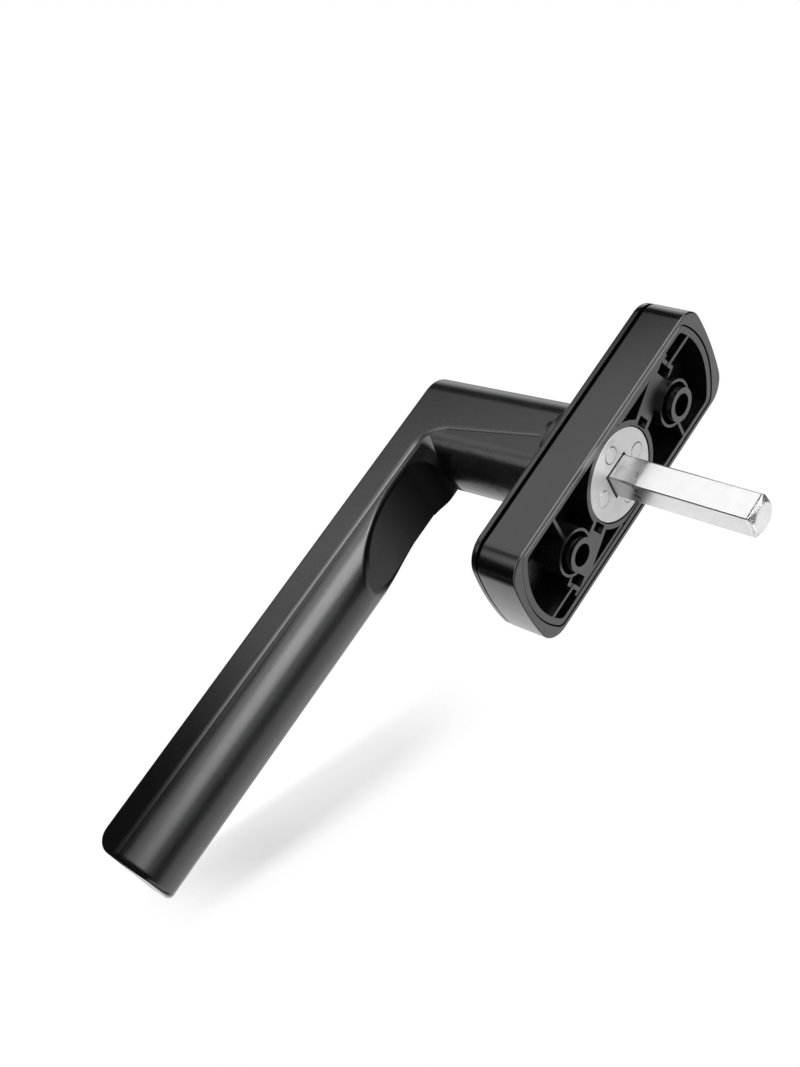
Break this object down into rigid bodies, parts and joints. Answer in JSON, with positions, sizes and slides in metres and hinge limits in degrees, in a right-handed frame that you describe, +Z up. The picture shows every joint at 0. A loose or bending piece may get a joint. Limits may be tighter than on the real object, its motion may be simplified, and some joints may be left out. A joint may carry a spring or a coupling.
{
  "type": "sliding door handle",
  "caption": "Lever handle on a long backplate with a square spindle, turning on a sprung detent, with a front cover that swivels aside over its screws.",
  "frame": {"origin": "on the spindle axis, in the plane of the back rim that seats on the door, midway between the two fixing screws", "axes": "+Z up the backplate, away from the grip; +Y along the spindle into the door; +X to the right as the user faces the handle"},
  "size_m": [0.03, 0.0893, 0.1692],
  "materials": {
    "housing_black": "die cast, black powder coat, satin",
    "cover_black": "pressed sheet, black powder coat, satin",
    "lever_black": "cast, fine black powder coat",
    "bushing_plastic": "black acetal",
    "carrier_plastic": "moulded black, slightly glossy",
    "rotor_zinc": "zinc die casting, plain",
    "disc_steel": "zinc plated, fine satin",
    "bright_steel": "zinc plated, bright",
    "spring_steel": "spring wire"
  },
  "bodies": {
    "backplate": {"housing": "housing_black", "detent_carrier": "carrier_plastic", "neck_bushing": "bushing_plastic", "detent_spring_1": "spring_steel", "detent_spring_2": "spring_steel"},
    "cover": {"front_cover": "cover_black"},
    "handle": {"lever": "lever_black", "spindle": "bright_steel", "detent_rotor": "rotor_zinc", "retaining_disc": "disc_steel", "rivet_1": "disc_steel", "rivet_2": "disc_steel", "rivet_3": "disc_steel", "rivet_4": "disc_steel"},
    "ball_1": {"detent_ball_1": "bright_steel"},
    "ball_2": {"detent_ball_2": "bright_steel"}
  },
  "joints": [
    {"name": "lever_turn", "type": "hinge", "parent": "backplate", "child": "handle", "pos_m": [0, 0, 0], "axis": [0, 1, 0], "range_deg": [0, 180]},
    {"name": "cover_swivel", "type": "hinge", "parent": "backplate", "child": "cover", "pos_m": [0, -0.011, 0], "axis": [0, 1, 0], "range_deg": [0, 90]},
    {"name": "ball_1_slide", "type": "slide", "parent": "backplate", "child": "ball_1", "axis": [-0.3387, 0, -0.9409], "range_m": [0, 0.0005], "deforming": ["detent_spring_1"]},
    {"name": "ball_2_slide", "type": "slide", "parent": "backplate", "child": "ball_2", "axis": [0.3387, 0, 0.9409], "range_m": [0, 0.0005], "deforming": ["detent_spring_2"]}
  ]
}
